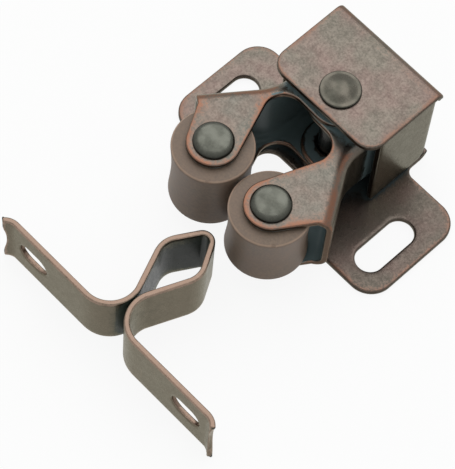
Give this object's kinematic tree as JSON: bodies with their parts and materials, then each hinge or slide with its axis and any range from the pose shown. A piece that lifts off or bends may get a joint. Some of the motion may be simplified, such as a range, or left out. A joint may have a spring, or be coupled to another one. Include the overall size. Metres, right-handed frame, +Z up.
{
  "type": "double roller cabinet catch",
  "caption": "Cabinet door catch: sprung roller arms in a folded steel housing grip the spear-shaped steel strike that is screwed to the door.",
  "frame": {"origin": "on the underside of the base, midway between the two screw slots", "axes": "+Z up from the base through the top plate, -Y towards the rollers and the strike, +X to the right of the catch seen from above with the rollers towards the viewer"},
  "size_m": [0.0433, 0.0558, 0.0202],
  "materials": {
    "antique_copper": "antique copper plated steel, satin",
    "dark_steel": "oxidised steel, satin",
    "brown_plastic": "moulded, matt",
    "spring_steel": "drawn wire"
  },
  "bodies": {
    "housing": {"housing": "antique_copper", "pivot_rivet": "dark_steel", "spring": "spring_steel"},
    "left_arm": {"left_arm": "antique_copper", "left_axle": "dark_steel"},
    "right_arm": {"right_arm": "antique_copper", "right_axle": "dark_steel"},
    "left_roller": {"left_roller": "brown_plastic"},
    "right_roller": {"right_roller": "brown_plastic"},
    "strike": {"strike": "antique_copper"}
  },
  "joints": [
    {"name": "left_arm_pivot", "type": "hinge", "parent": "housing", "child": "left_arm", "pos_m": [0, 0.00465, 0.0094], "axis": [0, 0, -1], "range_deg": [0, 13.4], "stiffness_Nm_per_rad": 0.05, "springref_deg": -20.05, "deforming": ["spring"]},
    {"name": "right_arm_pivot", "type": "hinge", "parent": "housing", "child": "right_arm", "pos_m": [0, 0.00465, 0.0094], "axis": [0, 0, 1], "range_deg": [0, 18.6], "stiffness_Nm_per_rad": 0.05, "springref_deg": -20.05, "deforming": ["spring"]},
    {"name": "left_roller_spin", "type": "hinge", "parent": "left_arm", "child": "left_roller", "pos_m": [-0.0068, -0.01291, 0.0094], "axis": [0, 0, 1], "continuous": true},
    {"name": "right_roller_spin", "type": "hinge", "parent": "right_arm", "child": "right_roller", "pos_m": [0.00518, -0.01345, 0.0094], "axis": [0, 0, 1], "continuous": true},
    {"name": "strike_slide", "type": "slide", "parent": "housing", "child": "strike", "axis": [0, -1, 0], "range_m": [0, 0.03]}
  ]
}
